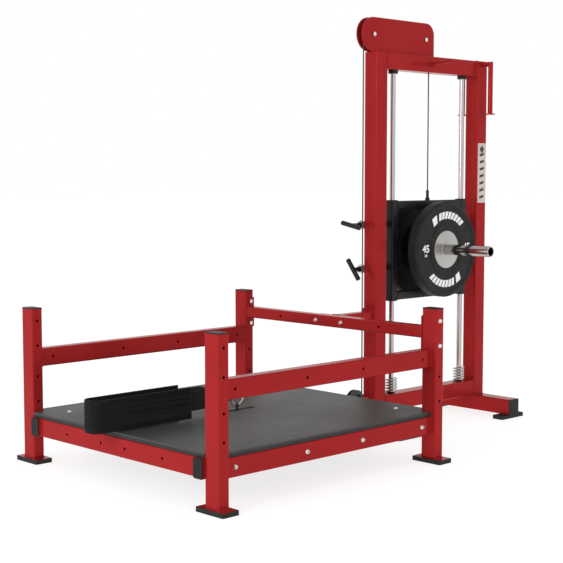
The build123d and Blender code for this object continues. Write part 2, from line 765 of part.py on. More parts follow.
peg_x = tower_mid_x - 25.0
peg_length = 125.0
peg_radius = 8.5
peg_rise = 5.0
peg_start = Vector(peg_x, -half_tower, top_beam_z)
peg_direction = Vector(0, -cos(radians(peg_rise)), sin(radians(peg_rise)))
with BuildPart() as storage_peg:
    with BuildSketch(Plane(peg_start, x_dir=(1, 0, 0), z_dir=peg_direction)):
        Circle(peg_radius)
    extrude(amount=peg_length)
    fillet(storage_peg.edges().sort_by(Axis.Y)[0], 4)
    with BuildSketch(xz_plane(-half_tower)):
        with Locations((peg_x, top_beam_z)):
            Circle(14)
    extrude(amount=6)
    with BuildSketch(Plane(peg_start, x_dir=(1, 0, 0), z_dir=peg_direction)):
        Circle(peg_radius)
    extrude(amount=-peg_radius)
    split(bisect_by=xz_plane(-half_tower), keep=Keep.TOP)
save(storage_peg.part, "storage_peg")

label_bottom, label_top = 1052.0, 1345.0
with BuildPart() as side_label:
    with BuildSketch(xz_plane(-half_tower)):
        with Locations((tower_rear_x, (label_bottom + label_top) / 2)):
            RectangleRounded(62, label_top - label_bottom, 3)
    extrude(amount=1)
save(side_label.part, "side_label")

# ---------------------------------------------------------------- fasteners
head_radius, head_height = 10.0, 5.0
socket_radius, socket_depth = 5.5, 4.0
screw_head = 9.0


def bolt_across(start, end, x, z):
    """Bolt along Y, its button head beyond start and its nut beyond end."""
    outward = 1 if start > end else -1
    with Locations(Location((x, (start + end) / 2, z), (90, 0, 0))):
        Cylinder(5, abs(start - end))
    with Locations(Location((x, start + outward * head_height / 2, z), (-90 * outward, 0, 0))):
        Cone(head_radius, head_radius - 3, head_height)
    with Locations(Location((x, end - outward * 4, z), (90, 0, 0))):
        Cylinder(9, 8)


with BuildPart() as frame_fasteners:
    for side in (-1, 1):
        for offset_x in rail_hole_offsets:
            bolt_across(side * outer_y, side * (inner_y - rail_width), front_x + offset_x, platform_z)
        for z in post_hole_heights[2:]:
            bolt_across(side * (side_y + post_y / 2), side * end_flange_y, rear_x, z)
        with Locations(Location((rear_x + plate_thickness / 2, side * link_bolt_y, end_rail_z),
                                (0, 90, 0))):
            Cylinder(5, small_tube + plate_thickness)
        with Locations(Location((rear_x - (small_tube + head_height) / 2, side * link_bolt_y, end_rail_z),
                                (0, -90, 0))):
            Cone(head_radius, head_radius - 3, head_height)
        with Locations(Location((link_start + plate_thickness + 4, side * link_bolt_y, end_rail_z),
                                (0, 90, 0))):
            Cylinder(9, 8)
        with BuildSketch(xz_plane(side * (outer_y + head_height))):
            with Locations(*[(front_x + x, platform_z) for x in rail_hole_offsets]):
                RegularPolygon(socket_radius, 6)
        extrude(amount=side * socket_depth, mode=Mode.SUBTRACT)
    with BuildSketch(Plane.XY.offset(deck_top)):
        with Locations(*screw_spots):
            Circle(screw_head)
    extrude(amount=5, taper=30)
    with BuildSketch(Plane.XY.offset(deck_top)):
        with Locations(*screw_spots):
            Circle(screw_hole - 0.1)
    extrude(amount=-18)
    with BuildSketch(yz_plane(tower_face_front - washer_thickness)):
        with Locations(*[(tee_y, z) for z, tilt, offset in tee_settings.values()]):
            Circle(washer_radius)
            Circle(tee_rod_radius + running_clearance, mode=Mode.SUBTRACT)
    extrude(amount=washer_thickness)
save(frame_fasteners.part, "frame_fasteners")

# ---------------------------------------------------------------- belt
belt_front_x = front_x - belt_reach
belt_end_x = front_x + 335.0
with BuildPart() as belt_pad:
    with BuildSketch(Plane.XY.offset(belt_bottom)):
        with BuildLine():
            FilletPolyline(
                (belt_end_x, belt_half_width), (belt_front_x, belt_half_width),
                (belt_front_x, -belt_half_width), (belt_end_x, -belt_half_width), radius=belt_corner)
            FilletPolyline(
                (belt_end_x, belt_half_width - belt_thickness),
                (belt_front_x + belt_thickness, belt_half_width - belt_thickness),
                (belt_front_x + belt_thickness, belt_thickness - belt_half_width),
                (belt_end_x, belt_thickness - belt_half_width), radius=belt_corner - belt_thickness)
            for side in (-1, 1):
                Line((belt_end_x, side * belt_half_width),
                     (belt_end_x, side * (belt_half_width - belt_thickness)))
        make_face()
    extrude(amount=belt_top - belt_bottom)
save(belt_pad.part, "belt_pad")

webbing_thickness = 4.0
webbing_start = belt_end_x - 40.0
webbing_bend = belt_end_x + 15.0
webbing_full_end = belt_end_x + 95.0
webbing_bottom, webbing_top = 247.0, 331.0
webbing_y = belt_half_width - belt_thickness - webbing_thickness
ring_grip_x = belt_cable_x - ring_radius
loop_outer = 11.0
loop_half = 14.0
with BuildPart() as belt_webbing:
    with BuildSketch(Plane.XY.offset(belt_bottom)):
        for side in (-1, 1):
            with BuildLine():
                Polyline(
                    (webbing_start, side * webbing_y), (webbing_bend, side * webbing_y),
                    (ring_grip_x - 4, side * (loop_outer - webbing_thickness)),
                    (ring_grip_x - 4, side * loop_outer),
                    (webbing_bend + 1, side * (webbing_y + webbing_thickness)),
                    (webbing_start, side * (webbing_y + webbing_thickness)), close=True)
            make_face()
        with Locations((ring_grip_x, 0)):
            Circle(loop_outer)
            Circle(loop_outer - webbing_thickness + 1, mode=Mode.SUBTRACT)
    extrude(amount=belt_top - belt_bottom)
    with BuildSketch(xz_plane(0)):
        with BuildLine():
            Polyline(
                (webbing_start, webbing_bottom), (webbing_full_end, webbing_bottom),
                (ring_grip_x - 25, ring_z - loop_half), (ring_grip_x + loop_outer, ring_z - loop_half),
                (ring_grip_x + loop_outer, ring_z + loop_half), (ring_grip_x - 25, ring_z + loop_half),
                (webbing_full_end, webbing_top), (webbing_start, webbing_top), close=True)
        make_face()
    extrude(amount=belt_half_width, both=True, mode=Mode.INTERSECT)
save(belt_webbing.part, "belt_webbing")

with BuildPart() as belt_ring:
    with BuildSketch(Plane((belt_cable_x, 0, ring_z))):
        with Locations((ring_radius, 0)):
            Circle(ring_wire)
    revolve(axis=Axis((belt_cable_x, 0, ring_z), (0, 1, 0)))
save(belt_ring.part, "belt_ring")

eye_z = ring_z - ring_radius
eye_radius = 8.0
eye_wire = 2.5
with BuildPart() as belt_swivel:
    with BuildSketch(Plane((belt_cable_x, 0, eye_z))):
        with Locations((0, eye_radius)):
            Circle(eye_wire)
    revolve(axis=Axis((belt_cable_x, 0, eye_z), (1, 0, 0)))
    with BuildSketch(Plane.XY.offset(belt_fitting_bottom)):
        with Locations((belt_cable_x, 0)):
            Circle(5)
    extrude(amount=eye_z - eye_radius - 1 - belt_fitting_bottom)
save(belt_swivel.part, "belt_swivel")
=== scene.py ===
"""Looks of the hip thrust machine: paint, chrome, rubber, belt, cable ends, welds and light."""

import json
from math import cos, pi, radians, sin, tau

import bpy
from mathutils import Matrix, Vector, noise


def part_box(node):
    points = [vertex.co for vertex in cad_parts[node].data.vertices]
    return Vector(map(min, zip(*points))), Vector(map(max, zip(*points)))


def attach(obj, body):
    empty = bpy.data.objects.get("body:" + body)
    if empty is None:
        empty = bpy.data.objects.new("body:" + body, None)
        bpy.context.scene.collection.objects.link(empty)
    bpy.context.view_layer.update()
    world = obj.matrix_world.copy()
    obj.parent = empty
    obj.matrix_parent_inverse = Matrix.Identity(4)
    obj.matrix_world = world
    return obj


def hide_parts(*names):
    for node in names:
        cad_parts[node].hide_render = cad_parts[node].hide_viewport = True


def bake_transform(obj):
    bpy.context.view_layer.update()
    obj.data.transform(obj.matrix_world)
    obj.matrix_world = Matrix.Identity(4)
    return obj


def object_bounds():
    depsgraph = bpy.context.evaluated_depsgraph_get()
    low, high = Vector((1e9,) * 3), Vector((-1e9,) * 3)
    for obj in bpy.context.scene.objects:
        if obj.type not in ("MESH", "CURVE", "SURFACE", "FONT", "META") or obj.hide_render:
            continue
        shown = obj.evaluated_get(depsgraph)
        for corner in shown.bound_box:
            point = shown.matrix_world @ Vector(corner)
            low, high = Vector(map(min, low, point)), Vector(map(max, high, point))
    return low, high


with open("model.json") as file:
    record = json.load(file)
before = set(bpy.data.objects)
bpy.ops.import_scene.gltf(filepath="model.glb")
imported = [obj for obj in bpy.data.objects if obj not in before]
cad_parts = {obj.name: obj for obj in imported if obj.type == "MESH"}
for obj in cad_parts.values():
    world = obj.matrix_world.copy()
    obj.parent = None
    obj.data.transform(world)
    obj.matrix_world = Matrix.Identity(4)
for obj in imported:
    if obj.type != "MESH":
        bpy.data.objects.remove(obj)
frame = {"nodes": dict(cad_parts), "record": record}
nodes = frame["nodes"]
cad_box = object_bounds()

# ---------------------------------------------------------------- camera
CAMERA_PLACE = (-4.0088, -3.9336, 1.1944)
CAMERA_DIP = 4.798  # degrees below the horizon
CAMERA_YAW = 45.97  # degrees from +X towards +Y
SENSOR_WIDTH, FOCAL_LENGTH = 36.0, 82.02  # mm
VIEW_DEPTH = 200.0

camera_data = bpy.data.cameras.new("camera")
camera_data.sensor_width = SENSOR_WIDTH
camera_data.lens = FOCAL_LENGTH
camera_data.clip_end = VIEW_DEPTH
camera = bpy.data.objects.new("camera", camera_data)
bpy.context.scene.collection.objects.link(camera)
camera.location = CAMERA_PLACE
camera.rotation_euler = (radians(90 - CAMERA_DIP), 0.0, radians(CAMERA_YAW - 90))
bpy.context.scene.camera = camera


# ---------------------------------------------------------------- material helpers
class Shader:
    """A node tree with a Principled shader, built up a few nodes at a time."""

    def __init__(self, name, roughness, metallic=0.0, specular=0.5, sheen=0.0):
        self.material = bpy.data.materials.new(name)
        self.material.use_nodes = True
        self.tree = self.material.node_tree
        self.shader = self.tree.nodes["Principled BSDF"]
        self.set("Roughness", roughness)
        self.set("Metallic", metallic)
        self.set("Specular IOR Level", specular)
        self.set("Sheen Weight", sheen)
        self.coordinates = self.tree.nodes.new("ShaderNodeTexCoord").outputs["Object"]

    def set(self, socket, value):
        self.shader.inputs[socket].default_value = value

    def link(self, output, target):
        self.tree.links.new(output, target)

    def stretched(self, scale):
        """Object coordinates stretched by a different amount along each axis."""
        mapping = self.tree.nodes.new("ShaderNodeMapping")
        mapping.inputs["Scale"].default_value = scale
        self.link(self.coordinates, mapping.inputs["Vector"])
        return mapping.outputs["Vector"]

    def noise(self, scale, detail=3.0, vector=None):
        texture = self.tree.nodes.new("ShaderNodeTexNoise")
        texture.inputs["Scale"].default_value = scale
        texture.inputs["Detail"].default_value = detail
        self.link(vector or self.coordinates, texture.inputs["Vector"])
        return texture.outputs["Fac"]

    def cells(self, scale):
        """Distance from the middle of small cells, as a factor."""
        texture = self.tree.nodes.new("ShaderNodeTexVoronoi")
        texture.inputs["Scale"].default_value = scale
        self.link(self.coordinates, texture.inputs["Vector"])
        return texture.outputs["Distance"]

    def waves(self, scale, direction, distortion=0.0):
        texture = self.tree.nodes.new("ShaderNodeTexWave")
        texture.bands_direction = direction
        texture.inputs["Scale"].default_value = scale
        texture.inputs["Distortion"].default_value = distortion
        self.link(self.coordinates, texture.inputs["Vector"])
        return texture.outputs["Fac"]

    def ramp(self, factor, stops):
        ramp = self.tree.nodes.new("ShaderNodeValToRGB")
        elements = ramp.color_ramp.elements
        for element, (place, colour) in zip(elements, (stops[0], stops[-1])):
            element.position = place
            element.color = (*colour, 1.0)
        for place, colour in stops[1:-1]:
            elements.new(place).color = (*colour, 1.0)
        self.link(factor, ramp.inputs["Fac"])
        return ramp.outputs["Color"]

    def combine(self, operation, first, second):
        """A sum or product of two outputs, or of an output and a number."""
        node = self.tree.nodes.new("ShaderNodeMath")
        node.operation = operation
        for socket, value in zip(node.inputs, (first, second)):
            if isinstance(value, float):
                socket.default_value = value
            else:
                self.link(value, socket)
        return node.outputs["Value"]

    def colour(self, output):
        self.link(output, self.shader.inputs["Base Color"])
        return self

    def mottle(self, scale, dark, light, low=0.35, high=0.7):
        """Base colour that wanders softly between two close shades."""
        return self.colour(self.ramp(self.noise(scale), [(low, dark), (high, light)]))

    def uneven_gloss(self, scale, low, high):
        """Roughness that wanders between two values."""
        node = self.tree.nodes.new("ShaderNodeMapRange")
        node.inputs["To Min"].default_value = low
        node.inputs["To Max"].default_value = high
        self.link(self.noise(scale), node.inputs["Value"])
        self.link(node.outputs["Result"], self.shader.inputs["Roughness"])
        return self

    def bump(self, height, strength, distance=0.001):
        node = self.tree.nodes.new("ShaderNodeBump")
        node.inputs["Strength"].default_value = strength
        node.inputs["Distance"].default_value = distance
        self.link(height, node.inputs["Height"])
        self.link(node.outputs["Normal"], self.shader.inputs["Normal"])
        return self


def gloss_red():
    s = Shader("gloss_red_paint", roughness=0.2, metallic=0.25, specular=0.03)
    s.mottle(5.0, (0.325, 0.0175, 0.0185), (0.360, 0.0195, 0.0205)).uneven_gloss(14.0, 0.15, 0.25)
    return s.bump(s.noise(420.0, 1.0), 0.035, 0.0004).material


def satin_black():
    s = Shader("satin_black_paint", roughness=0.35, specular=0.25)
    s.mottle(9.0, (0.0045, 0.0045, 0.0045), (0.0085, 0.0085, 0.0083)).uneven_gloss(20.0, 0.26, 0.4)
    return s.bump(s.noise(650.0, 2.0), 0.12, 0.0004).material


def chrome():
    s = Shader("chrome_plate", roughness=0.05, metallic=1.0)
    s.mottle(3.0, (0.46, 0.43, 0.42), (0.53, 0.50, 0.48)).uneven_gloss(30.0, 0.1, 0.17)
    return s.material


def brushed_steel():
    s = Shader("brushed_steel", roughness=0.3, metallic=1.0)
    grain = s.noise(60.0, 4.0, s.stretched((30.0, 2.0, 30.0)))
    s.colour(s.ramp(grain, [(0.3, (0.5, 0.49, 0.47)), (0.7, (0.68, 0.67, 0.65))]))
    s.uneven_gloss(25.0, 0.22, 0.36)
    return s.bump(grain, 0.05, 0.0002).material


def turned_steel():
    """Hub face with fine rings from the lathe, about the weight horn's axis."""
    s = Shader("turned_steel", roughness=0.28, metallic=1.0)
    low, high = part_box("plate_hub_right")
    centre = (low + high) / 2
    mapping = s.tree.nodes.new("ShaderNodeMapping")
    mapping.inputs["Location"].default_value = (-centre.x, 0.0, -centre.z)
    mapping.inputs["Scale"].default_value = (1.0, 0.0, 1.0)
    s.link(s.coordinates, mapping.inputs["Vector"])
    rings = s.tree.nodes.new("ShaderNodeTexWave")
    rings.wave_type = "RINGS"
    rings.rings_direction = "SPHERICAL"
    rings.inputs["Scale"].default_value = 180.0
    rings.inputs["Distortion"].default_value = 0.6
    s.link(mapping.outputs["Vector"], rings.inputs["Vector"])
    s.mottle(7.0, (0.40, 0.39, 0.37), (0.46, 0.45, 0.43)).uneven_gloss(20.0, 0.24, 0.36)
    return s.bump(rings.outputs["Fac"], 0.06, 0.0002).material


def bright_zinc():
    s = Shader("bright_zinc", roughness=0.22, metallic=1.0)
    s.mottle(60.0, (0.64, 0.62, 0.58), (0.78, 0.76, 0.72)).uneven_gloss(90.0, 0.18, 0.32)
    return s.bump(s.noise(500.0), 0.05, 0.0002).material


def moulded_plastic():
    s = Shader("moulded_plastic", roughness=0.45, specular=0.25)
    s.mottle(30.0, (0.0040, 0.0038, 0.0040), (0.0075, 0.0072, 0.0072))
    s.uneven_gloss(60.0, 0.42, 0.58)
    return s.bump(s.noise(1400.0, 2.0), 0.25, 0.0003).material


def pulley_nylon():
    s = Shader("pulley_nylon", roughness=0.35, specular=0.5)
    s.mottle(20.0, (0.010, 0.010, 0.011), (0.018, 0.018, 0.019)).uneven_gloss(50.0, 0.28, 0.42)
    return s.bump(s.noise(900.0, 2.0), 0.08, 0.0003).material


def plate_rubber():
    s = Shader("plate_rubber", roughness=0.55, specular=0.2)
    s.mottle(16.0, (0.0100, 0.0100, 0.0102), (0.0165, 0.0165, 0.0165))
    s.uneven_gloss(35.0, 0.48, 0.64)
    specks = s.combine("ADD", s.cells(260.0), s.noise(700.0))
    return s.bump(specks, 0.12, 0.0004).material


def pad_rubber():
    s = Shader("pad_rubber", roughness=0.7, specular=0.3)
    s.mottle(40.0, (0.010, 0.010, 0.010), (0.018, 0.0175, 0.0175)).uneven_gloss(80.0, 0.6, 0.8)
    return s.bump(s.noise(900.0), 0.3, 0.0004).material


def deck_rubber():
    """Dense grey rubber sheet: fine grain, and a faint scuff here and there."""
    s = Shader("deck_rubber", roughness=0.55, specular=0.45)
    scuffs = s.noise(3.2, 5.0)
    grain = s.noise(900.0, 2.0)
    tone = s.combine("ADD", s.combine("MULTIPLY", scuffs, 0.7), s.combine("MULTIPLY", grain, 0.3))
    s.colour(s.ramp(tone, [(0.36, (0.034, 0.0335, 0.033)), (0.62, (0.051, 0.050, 0.049))]))
    s.uneven_gloss(5.0, 0.42, 0.6)
    return s.bump(grain, 0.18, 0.0004).material


def deck_edge():
    """Sealed panel under the mat, with the faint lines of its plies."""
    s = Shader("sealed_deck_panel", roughness=0.6, specular=0.35)
    plies = s.waves(140.0, "Z", 0.4)
    s.colour(s.ramp(plies, [(0.1, (0.015, 0.0155, 0.015)), (0.9, (0.021, 0.0215, 0.021))]))
    s.uneven_gloss(30.0, 0.52, 0.68)
    return s.bump(plies, 0.1, 0.0003).material


def cable_jacket():
    s = Shader("cable_jacket", roughness=0.32, specular=0.5)
    s.mottle(25.0, (0.016, 0.016, 0.016), (0.026, 0.026, 0.026)).uneven_gloss(60.0, 0.26, 0.4)
    return s.bump(s.noise(800.0, 1.0), 0.06, 0.0002).material


def belt_cover():
    """Woven nylon cover of the padded belt."""
    s = Shader("belt_cover", roughness=0.82, specular=0.15, sheen=0.04)
    weave = s.combine("ADD", s.noise(900.0, 2.0), s.cells(700.0))
    tone = s.noise(14.0, 4.0)
    s.colour(s.ramp(tone, [(0.3, (0.0040, 0.0040, 0.0042)), (0.7, (0.0066, 0.0066, 0.0068))]))
    return s.bump(weave, 0.12, 0.0003).material


def strap_weave():
    """Flat webbing: long ribs, crossed by fine picks."""
    s = Shader("strap_weave", roughness=0.75, specular=0.2, sheen=0.05)
    picks = s.combine("MULTIPLY", s.waves(160.0, "X", 0.4), 0.6)
    ribs = s.combine("ADD", s.waves(75.0, "Z", 0.2), picks)
    s.mottle(30.0, (0.0060, 0.0060, 0.0063), (0.0110, 0.0110, 0.0115), low=0.3)
    return s.bump(ribs, 0.5, 0.0006).material


def thread():
    s = Shader("belt_thread", roughness=0.6, specular=0.3)
    s.mottle(200.0, (0.010, 0.010, 0.010), (0.022, 0.022, 0.022))
    return s.bump(s.noise(2500.0), 0.3, 0.0002).material


def label_film():
    s = Shader("label_film", roughness=0.3, specular=0.5)
    s.mottle(12.0, (0.54, 0.46, 0.43), (0.60, 0.51, 0.48)).uneven_gloss(40.0, 0.24, 0.36)
    return s.bump(s.noise(600.0), 0.04, 0.0002).material


def printed_white():
    s = Shader("printed_white", roughness=0.4, specular=0.4)
    s.mottle(60.0, (0.80, 0.80, 0.79), (0.90, 0.90, 0.89))
    return s.bump(s.noise(900.0), 0.1, 0.0002).material


def printed_dark():
    s = Shader("printed_dark", roughness=0.35, specular=0.4)
    s.mottle(60.0, (0.035, 0.014, 0.014), (0.055, 0.020, 0.020))
    return s.bump(s.noise(900.0), 0.08, 0.0002).material


RED, BLACK, CHROME, STEEL = gloss_red(), satin_black(), chrome(), brushed_steel()
TURNED, ZINC, PLASTIC, NYLON = turned_steel(), bright_zinc(), moulded_plastic(), pulley_nylon()
BUMPER, PAD, DECK, PANEL = plate_rubber(), pad_rubber(), deck_rubber(), deck_edge()
JACKET, COVER, STRAP, THREAD = cable_jacket(), belt_cover(), strap_weave(), thread()
LABEL, WHITE, INK = label_film(), printed_white(), printed_dark()

finishes = {
    "red paint": RED, "black paint": BLACK, "chrome": CHROME, "steel": STEEL,
    "pulley plastic": NYLON, "cap plastic": PLASTIC, "plate rubber": BUMPER, "pad rubber": PAD,
    "deck wood": PANEL, "cable jacket": JACKET, "belt leather": COVER, "belt webbing": STRAP,
    "label": LABEL,
}
own_finishes = {
    "plate_hub_left": TURNED, "plate_hub_right": TURNED, "frame_fasteners": ZINC,
    "pulley_axles": ZINC, "bumper_springs": CHROME, "deck_mat": DECK,
    "carriage_cable_fitting": BLACK,
}
slot_of = {part["node"]: part["material_slot"] for part in frame["record"]["subparts"]}
for name, node in nodes.items():
    node.data.materials.clear()
    node.data.materials.append(own_finishes.get(name, finishes[slot_of[name]]))


# ---------------------------------------------------------------- mesh helpers
UP = Vector((0, 0, 1))


def add_piece(name, mesh, material):
    """Put a finished mesh into the scene, in one material."""
    mesh.materials.append(material)
    piece = bpy.data.objects.new(name, mesh)
    bpy.context.scene.collection.objects.link(piece)
    return piece


def new_piece(name, skin, material, smooth=True):
    """Turn a skin of points and faces into a piece."""
    mesh = bpy.data.meshes.new(name)
    mesh.from_pydata([tuple(p) for p in skin.points], [], skin.faces)
    mesh.validate()
    mesh.update()
    if smooth:
        mesh.shade_smooth()
    return add_piece(name, mesh, material)


def circle(centre, u, v, radius, sides):
    """A ring of points in the plane of two directions."""
    turns = [tau * j / sides for j in range(sides)]
    return [centre + u * (cos(turn) * radius) + v * (sin(turn) * radius) for turn in turns]


class Skin:
    """Points and faces of one mesh, gathered from one loft after another."""

    def __init__(self):
        self.points, self.faces = [], []

    def loft(self, rings, closed_path=False):
        """Add a skin through equal rings of points, capped unless its path closes on itself."""
        start, count = len(self.points), len(rings[0])
        self.points += [point for ring in rings for point in ring]
        spans = len(rings) if closed_path else len(rings) - 1
        for i in range(spans):
            first = start + i * count
            second = start + (i + 1) % len(rings) * count
            for j in range(count):
                k = (j + 1) % count
                self.faces.append((first + j, first + k, second + k, second + j))
        if not closed_path:
            end = len(self.points)
            self.faces.append(tuple(reversed(range(start, start + count))))
            self.faces.append(tuple(range(end - count, end)))
        return self


def tangents_along(path, closed=False):
    """Unit tangents of a path, by central differences."""
    last = len(path) - 1
    tangents = []
    for i in range(len(path)):
        before = path[i - 1] if closed or i else path[0]
        after = path[(i + 1) % len(path)] if closed or i < last else path[last]
        tangents.append((after - before).normalized())
    return tangents


def left_of(tangent):
    """The level direction to the left of a level tangent."""
    return Vector((-tangent.y, tangent.x, 0))


def smooth_step(t):
    """Eases in and out between 0 and 1."""
    return t * t * (3 - 2 * t)


# ---------------------------------------------------------------- cable end runs
CABLE_SIDES, CABLE_STEPS = 16, 48


def cable_run(name, node):
    """Upright cable between a pulley and a moving piece, whose length changes as it moves."""
    low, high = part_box(node)
    centre, radius = (low + high) / 2, (high.x - low.x) / 2
    rings = []
    for i in range(CABLE_STEPS + 1):
        z = low.z + (high.z - low.z) * i / CABLE_STEPS
        rings.append(circle(Vector((centre.x, centre.y, z)), Vector((1, 0, 0)), Vector((0, 1, 0)),
                            radius, CABLE_SIDES))
    piece = new_piece(name, Skin().loft(rings), JACKET)
    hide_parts(node)
    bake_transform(piece)


cable_run("carriage_cable", "cable_carriage_run")
cable_run("belt_cable", "cable_belt_run")

# ---------------------------------------------------------------- padded belt
PAD_THICKNESS = 0.010
PAD_CORNER = 0.038
PAD_END_GAP, PAD_EDGE_GAP = 0.001, 0.0005
COVER_GAP = 0.0004  # between the cover and the outside of the CAD pad
EDGE_ROUNDING = 0.004
EDGE_FULLNESS = 0.45  # share of the thickness that is left at the very edge
STITCH_INSET = 0.009
GROOVE_DEPTH, GROOVE_HALF_WIDTH = 0.0011, 0.0025
HEM_FULLNESS = {0: 0.55, 1: 0.9}  # share of the thickness at the first sections from an end
RIPPLE_SHARE = 0.4
UNLIKE_SIDE = 3 * UP  # makes the outer side ripple in another way than the inner one

pad_low, pad_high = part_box("belt_pad")
strap_low, strap_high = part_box("belt_webbing")
ring_low, ring_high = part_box("belt_ring")


def belt_line(half_width, end_x, front_x, corner, spacing=0.006, turns=10):
    """Plan of the belt: from the left end, round the front, to the right end."""
    path = []
    straight = end_x - front_x - corner
    count = int(straight / spacing)
    path += [Vector((end_x - straight * i / count, half_width, 0)) for i in range(count)]
    for centre_y, start in ((half_width - corner, 90), (corner - half_width, 180)):
        for i in range(turns + 1):
            angle = radians(start + 90 * i / turns)
            path.append(Vector((front_x + corner + corner * cos(angle),
                                centre_y + corner * sin(angle), 0)))
    path += [Vector((front_x + corner + straight * i / count, -half_width, 0))
             for i in range(1, count + 1)]
    return path


def pad_section(height):
    """Half thickness of the belt at a height between 0 and 1: rounded edges and a sewn groove."""
    edge = min(height, 1 - height) * (pad_high.z - pad_low.z)
    half = PAD_THICKNESS / 2 - COVER_GAP
    if edge < EDGE_ROUNDING:
        roundness = (1 - (1 - edge / EDGE_ROUNDING) ** 2) ** 0.5
        half *= EDGE_FULLNESS + (1 - EDGE_FULLNESS) * roundness
    groove = abs(edge - STITCH_INSET)
    return half - GROOVE_DEPTH * max(0.0, 1 - groove / GROOVE_HALF_WIDTH)


def ripple(point):
    """Slight unevenness of cloth over foam."""
    return 0.0002 * noise.noise(point * 14.0) + 0.0006 * noise.noise(point * 7.0)


# heights of the section's points from 0 to 1, close together at the edges and the grooves;
# six mirrored ones differ from their twins by rounding alone, and give faces without area
pad_levels = [0, 0.008, 0.02, 0.034, 0.05, 0.058, 0.066, 0.072, 0.078, 0.086, 0.094, 0.11]
pad_levels += [0.14 + 0.72 * i / 14 for i in range(15)]
pad_levels = sorted(set(pad_levels + [1 - level for level in pad_levels]))


def pad_ring(point, tangent, hem):
    """Section across the belt: up its inner side and down its outer one."""
    side = left_of(tangent)
    inner, outer = [], []
    for level in pad_levels:
        z = pad_low.z + PAD_EDGE_GAP + (pad_high.z - pad_low.z - 2 * PAD_EDGE_GAP) * level
        half = pad_section(level) * hem
        base = Vector((point.x, point.y, z))
        inner.append(base + side * (half + ripple(base) * RIPPLE_SHARE))
        outer.append(base - side * (half + ripple(base + UNLIKE_SIDE) * RIPPLE_SHARE))
    return inner + outer[::-1]


pad_path = belt_line((pad_high.y - pad_low.y) / 2 - PAD_THICKNESS / 2, pad_high.x - PAD_END_GAP,
                     pad_low.x + PAD_THICKNESS / 2, PAD_CORNER - PAD_THICKNESS / 2)
pad_rings = []
for index, (point, tangent) in enumerate(zip(pad_path, tangents_along(pad_path))):
    from_end = min(index, len(pad_path) - 1 - index)
    pad_rings.append(pad_ring(point, tangent, HEM_FULLNESS.get(from_end, 1.0)))
belt_pad = new_piece("belt_padding", Skin().loft(pad_rings), COVER)
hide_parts("belt_pad")
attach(belt_pad, "belt")


STITCH_PITCH, STITCH_LENGTH, THREAD_RADIUS = 0.0045, 0.0034, 0.00045
STITCH_PROFILE = ((-0.5, 0.35), (-0.36, 1.0), (0.36, 1.0), (0.5, 0.35))  # shares of length, radius
STITCH_DEPTH = 0.0013


def stitch_row(skin, path, height, offset):
    """Sewn stitches: short rounded threads along a path, at a height, to one side of it."""
    travelled, due = 0.0, STITCH_PITCH
    for before, after, tangent in zip(path, path[1:], tangents_along(path)[1:]):
        step = (after - before).length
        side = left_of(tangent)
        while travelled + step >= due:
            place = before.lerp(after, (due - travelled) / step)
            centre = Vector((place.x, place.y, height)) + side * offset
            skin.loft([circle(centre + tangent * (end * STITCH_LENGTH), side, UP,
                              THREAD_RADIUS * scale, 6) for end, scale in STITCH_PROFILE])
            due += STITCH_PITCH
        travelled += step


stitches = Skin()
stitch_offset = PAD_THICKNESS / 2 - STITCH_DEPTH
for offset in (-stitch_offset, stitch_offset):
    for height in (pad_low.z + STITCH_INSET, pad_high.z - STITCH_INSET):
        stitch_row(stitches, pad_path[2:-2], height, offset)
belt_stitches = new_piece("belt_stitches", stitches, THREAD)
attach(belt_stitches, "belt")

# ---------------------------------------------------------------- webbing straps to the ring
STRAP_THICKNESS = 0.004
STRAP_LEVELS = 15
STRAP_GAP, STRAP_SHRINK = 0.001, 0.0003
WIRE_GAP, PAD_GAP = 0.0006, 0.0002  # to the ring's wire, and to the pad's inner side
FLAT_PAST_PAD = 0.010
LIP_FULLNESS = 0.45  # share of the thickness that is left at the webbing's edges
GATHERED_HALF_WIDTH = 0.0135
GATHER_FROM, GATHER_UNTIL = 0.092, 0.025  # past the pad's end, and short of the ring
WRINKLE, WRINKLE_FROM = 0.0006, 0.02
FLAT_STEPS, REACH_STEPS = 8, 31

ring_centre = (ring_low + ring_high) / 2
ring_wire = (ring_high.y - ring_low.y) / 2
grip_x = ring_low.x + ring_wire
loop_radius = ring_wire + STRAP_THICKNESS / 2 + WIRE_GAP
strap_y = (pad_high.y - pad_low.y) / 2 - PAD_THICKNESS - STRAP_THICKNESS / 2 - PAD_GAP
spread_x = pad_high.x + FLAT_PAST_PAD


def strap_bounds(x):
    """Lowest and highest edge of the webbing: flat and wide, then gathered towards the ring."""
    wide_low, wide_high = strap_low.z + STRAP_GAP, strap_high.z - STRAP_GAP
    gathered_low = ring_centre.z - GATHERED_HALF_WIDTH
    gathered_high = ring_centre.z + GATHERED_HALF_WIDTH
    start = pad_high.x + GATHER_FROM
    t = smooth_step(min(1.0, max(0.0, (x - start) / (grip_x - GATHER_UNTIL - start))))
    return wide_low + (gathered_low - wide_low) * t, wide_high + (gathered_high - wide_high) * t


def strap_path():
    """Left strap to the ring, round its wire and back along the right side."""
    start_x = strap_low.x + STRAP_GAP
    path = [Vector((start_x + (spread_x - start_x) * i / FLAT_STEPS, strap_y, 0))
            for i in range(FLAT_STEPS + 1)]
    meet_x = grip_x - loop_radius * 1.2
    for i in range(1, REACH_STEPS):
        t = i / REACH_STEPS
        path.append(Vector((spread_x + (meet_x - spread_x) * t,
                            strap_y + (loop_radius - strap_y) * smooth_step(t), 0)))
    path += [Vector((grip_x + loop_radius * cos(radians(a)), loop_radius * sin(radians(a)), 0))
             for a in range(100, -1, -20)]
    return path + [Vector((p.x, -p.y, 0)) for p in reversed(path[:-1])]


